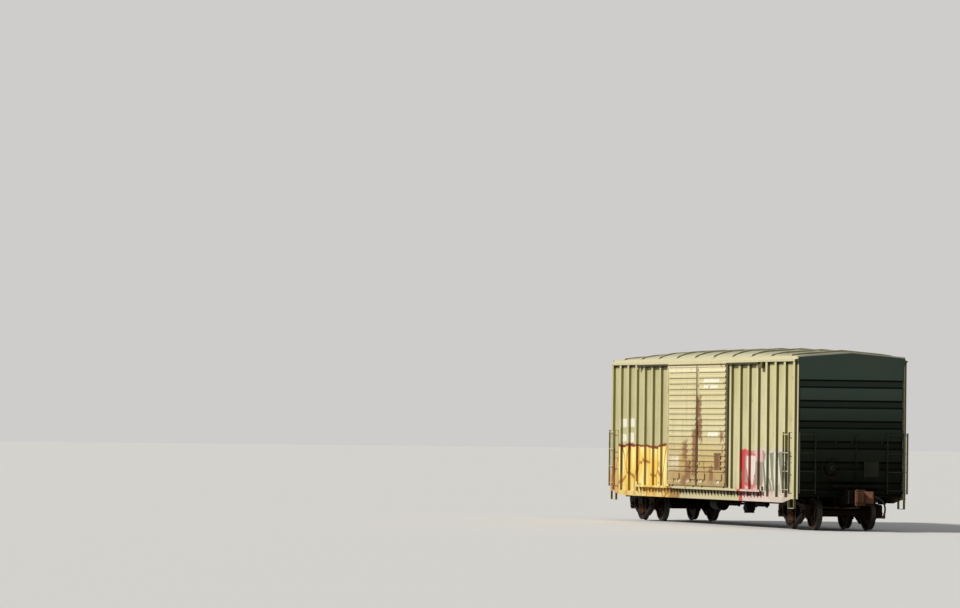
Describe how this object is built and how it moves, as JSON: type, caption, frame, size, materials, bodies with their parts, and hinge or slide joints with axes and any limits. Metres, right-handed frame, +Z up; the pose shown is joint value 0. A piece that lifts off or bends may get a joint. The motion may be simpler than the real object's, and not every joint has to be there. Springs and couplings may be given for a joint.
{
  "type": "railroad boxcar",
  "caption": "Fifty foot railroad boxcar with outside side posts, corrugated ends, double sliding doors, swivelling trucks and turning wheelsets.",
  "frame": {"origin": "under the middle of the car, at the height of the tips of the wheel flanges, 0.025 m below the rail top", "axes": "+X along the car towards its hand brake end, +Y to the right side of the car as seen by someone who faces that end, +Z up"},
  "size_m": [17.884, 3.252, 4.8549],
  "materials": {
    "body_paint": "chalky light green-yellow paint, weathered",
    "door_paint": "chalky light green-yellow paint with rust runs",
    "end_paint": "darker weathered green paint",
    "roof_paint": "weathered grey-green paint",
    "floor_wood": "worn planks",
    "underframe_paint": "dark grimy paint",
    "rusty_casting": "brown rust",
    "truck_casting": "dark rust and dust",
    "spring_steel": "rusty steel",
    "wheel_steel": "rusty steel with polished treads",
    "hose_rubber": "dull black rubber"
  },
  "bodies": {
    "car_body": {"floor": "floor_wood", "centre_sill": "underframe_paint", "body_bolsters": "underframe_paint", "crossbearers": "underframe_paint", "floor_stringers": "underframe_paint", "end_beams": "underframe_paint", "side_sills": "body_paint", "wall_left_a": "body_paint", "wall_left_b": "body_paint", "wall_right_a": "body_paint", "wall_right_b": "body_paint", "end_wall_a": "end_paint", "end_wall_b": "end_paint", "corner_posts": "body_paint", "door_frames": "body_paint", "side_plates": "body_paint", "roof": "roof_paint", "roof_seam_caps": "roof_paint", "upper_door_tracks": "body_paint", "lower_door_tracks": "body_paint", "side_ladders": "body_paint", "end_ladders": "end_paint", "sill_steps": "body_paint", "crossover_platforms": "end_paint", "couplers": "rusty_casting", "coupler_knuckles": "rusty_casting", "uncoupling_levers": "underframe_paint", "brake_pipe": "underframe_paint", "air_hose_a": "hose_rubber", "air_hose_b": "hose_rubber", "hose_couplings": "rusty_casting", "brake_cylinder": "underframe_paint", "air_reservoir": "underframe_paint", "control_valve": "underframe_paint", "brake_rods": "underframe_paint", "hand_brake": "end_paint", "brake_wheel": "end_paint"},
    "door_left_a": {"door_left_a": "door_paint"},
    "door_left_b": {"door_left_b": "door_paint"},
    "door_right_a": {"door_right_a": "door_paint"},
    "door_right_b": {"door_right_b": "door_paint"},
    "truck_a": {"side_frames_a": "truck_casting", "truck_bolster_a": "truck_casting", "spring_nests_a": "spring_steel", "bearing_adapters_a": "truck_casting", "brake_beams_a": "truck_casting"},
    "wheelset_a1": {"wheels_a1": "wheel_steel", "axle_a1": "truck_casting"},
    "wheelset_a2": {"wheels_a2": "wheel_steel", "axle_a2": "truck_casting"},
    "truck_b": {"side_frames_b": "truck_casting", "truck_bolster_b": "truck_casting", "spring_nests_b": "spring_steel", "bearing_adapters_b": "truck_casting", "brake_beams_b": "truck_casting"},
    "wheelset_b1": {"wheels_b1": "wheel_steel", "axle_b1": "truck_casting"},
    "wheelset_b2": {"wheels_b2": "wheel_steel", "axle_b2": "truck_casting"}
  },
  "joints": [
    {"name": "door_left_a_slide", "type": "slide", "parent": "car_body", "child": "door_left_a", "axis": [-1, 0, 0], "range_m": [0, 2.44]},
    {"name": "door_left_b_slide", "type": "slide", "parent": "car_body", "child": "door_left_b", "axis": [1, 0, 0], "range_m": [0, 2.44]},
    {"name": "door_right_a_slide", "type": "slide", "parent": "car_body", "child": "door_right_a", "axis": [-1, 0, 0], "range_m": [0, 2.44]},
    {"name": "door_right_b_slide", "type": "slide", "parent": "car_body", "child": "door_right_b", "axis": [1, 0, 0], "range_m": [0, 2.44]},
    {"name": "truck_a_swivel", "type": "hinge", "parent": "car_body", "child": "truck_a", "pos_m": [-6.3, 0, 0.679], "axis": [0, 0, 1], "range_deg": [-8, 8]},
    {"name": "wheelset_a1_roll", "type": "hinge", "parent": "truck_a", "child": "wheelset_a1", "pos_m": [-7.1635, 0, 0.444], "axis": [0, 1, 0], "continuous": true},
    {"name": "wheelset_a2_roll", "type": "hinge", "parent": "truck_a", "child": "wheelset_a2", "pos_m": [-5.4365, 0, 0.444], "axis": [0, 1, 0], "continuous": true},
    {"name": "truck_b_swivel", "type": "hinge", "parent": "car_body", "child": "truck_b", "pos_m": [6.3, 0, 0.679], "axis": [0, 0, 1], "range_deg": [-8, 8]},
    {"name": "wheelset_b1_roll", "type": "hinge", "parent": "truck_b", "child": "wheelset_b1", "pos_m": [5.4365, 0, 0.444], "axis": [0, 1, 0], "continuous": true},
    {"name": "wheelset_b2_roll", "type": "hinge", "parent": "truck_b", "child": "wheelset_b2", "pos_m": [7.1635, 0, 0.444], "axis": [0, 1, 0], "continuous": true}
  ]
}
